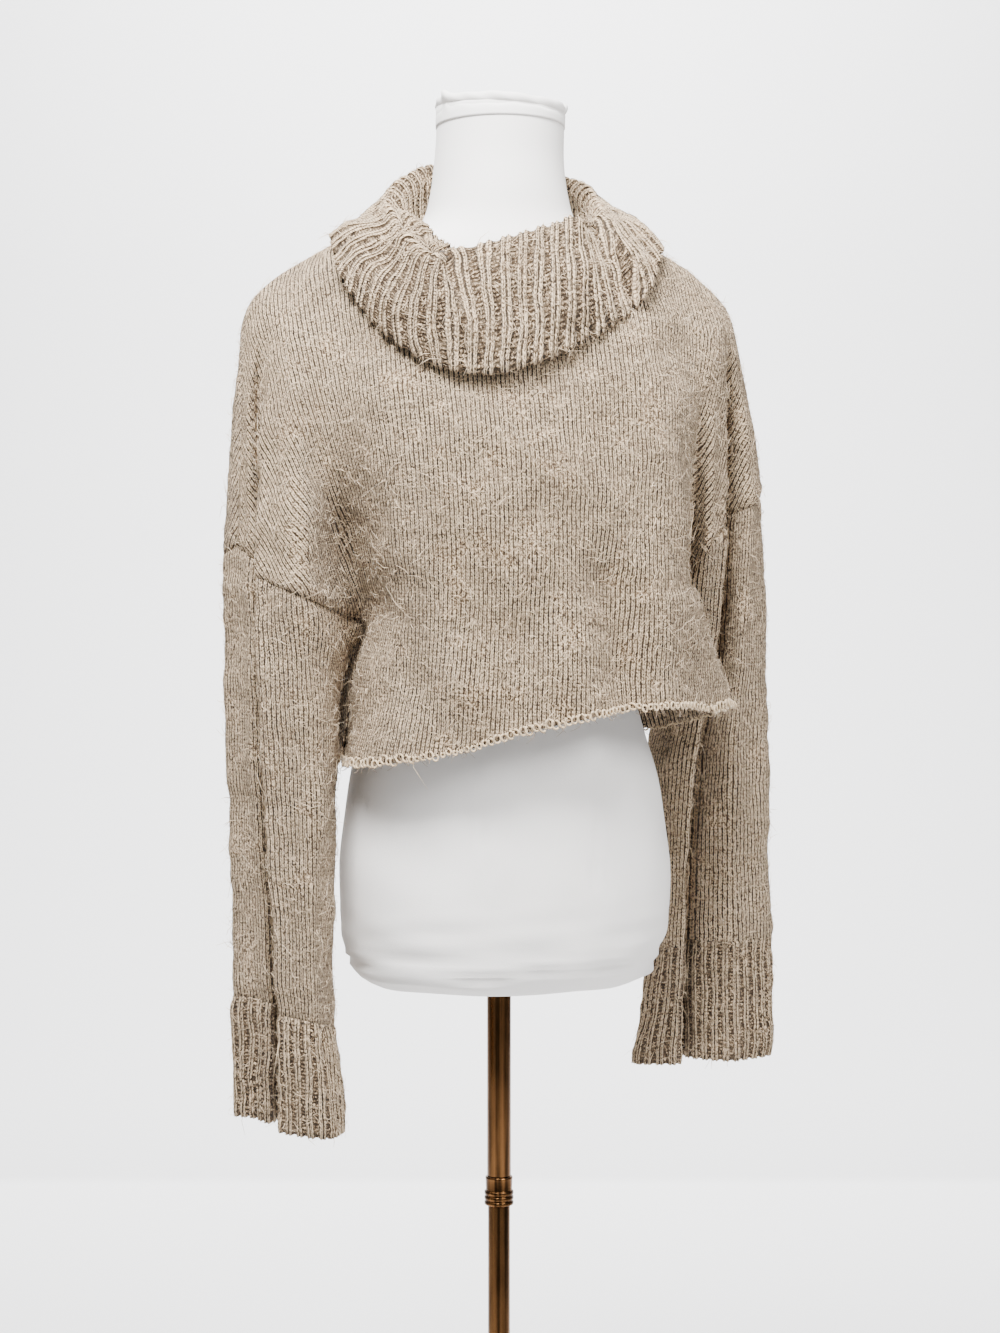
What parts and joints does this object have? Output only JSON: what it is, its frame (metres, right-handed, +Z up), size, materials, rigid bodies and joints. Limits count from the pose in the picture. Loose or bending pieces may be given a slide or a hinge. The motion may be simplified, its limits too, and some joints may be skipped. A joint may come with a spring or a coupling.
{
  "type": "cropped knit sweater on a limbless dress form with a pole stand",
  "caption": "Cropped, boxy knit sweater with a draped ribbed cowl collar, drop shoulders and ribbed cuffs, hanging on a limbless jersey-covered dress form on a bronze pole stand.",
  "frame": {"origin": "on the floor, in the middle of the underside of the stand's base, under the pole", "axes": "+Z up along the pole, the garment's front faces -Y, its left in the front view is -X"},
  "size_m": [0.4967, 0.36, 1.5373],
  "materials": {
    "wool_knit": "fuzzy heathered beige wool, plain knit",
    "wool_rib": "the same wool in a two by two rib",
    "form_cover": "matte white jersey",
    "bronze": "dark bronze, polished"
  },
  "bodies": {
    "root": {"sweater_front": "wool_knit", "sweater_back": "wool_knit", "sleeve_left": "wool_knit", "cuff_left": "wool_rib", "sleeve_right": "wool_knit", "cuff_right": "wool_rib", "collar": "wool_rib", "dress_form": "form_cover", "neck_cap": "form_cover", "pole_coupler": "bronze", "pole_upper": "bronze", "pole_lower": "bronze", "stand_base": "bronze"}
  },
  "joints": []
}
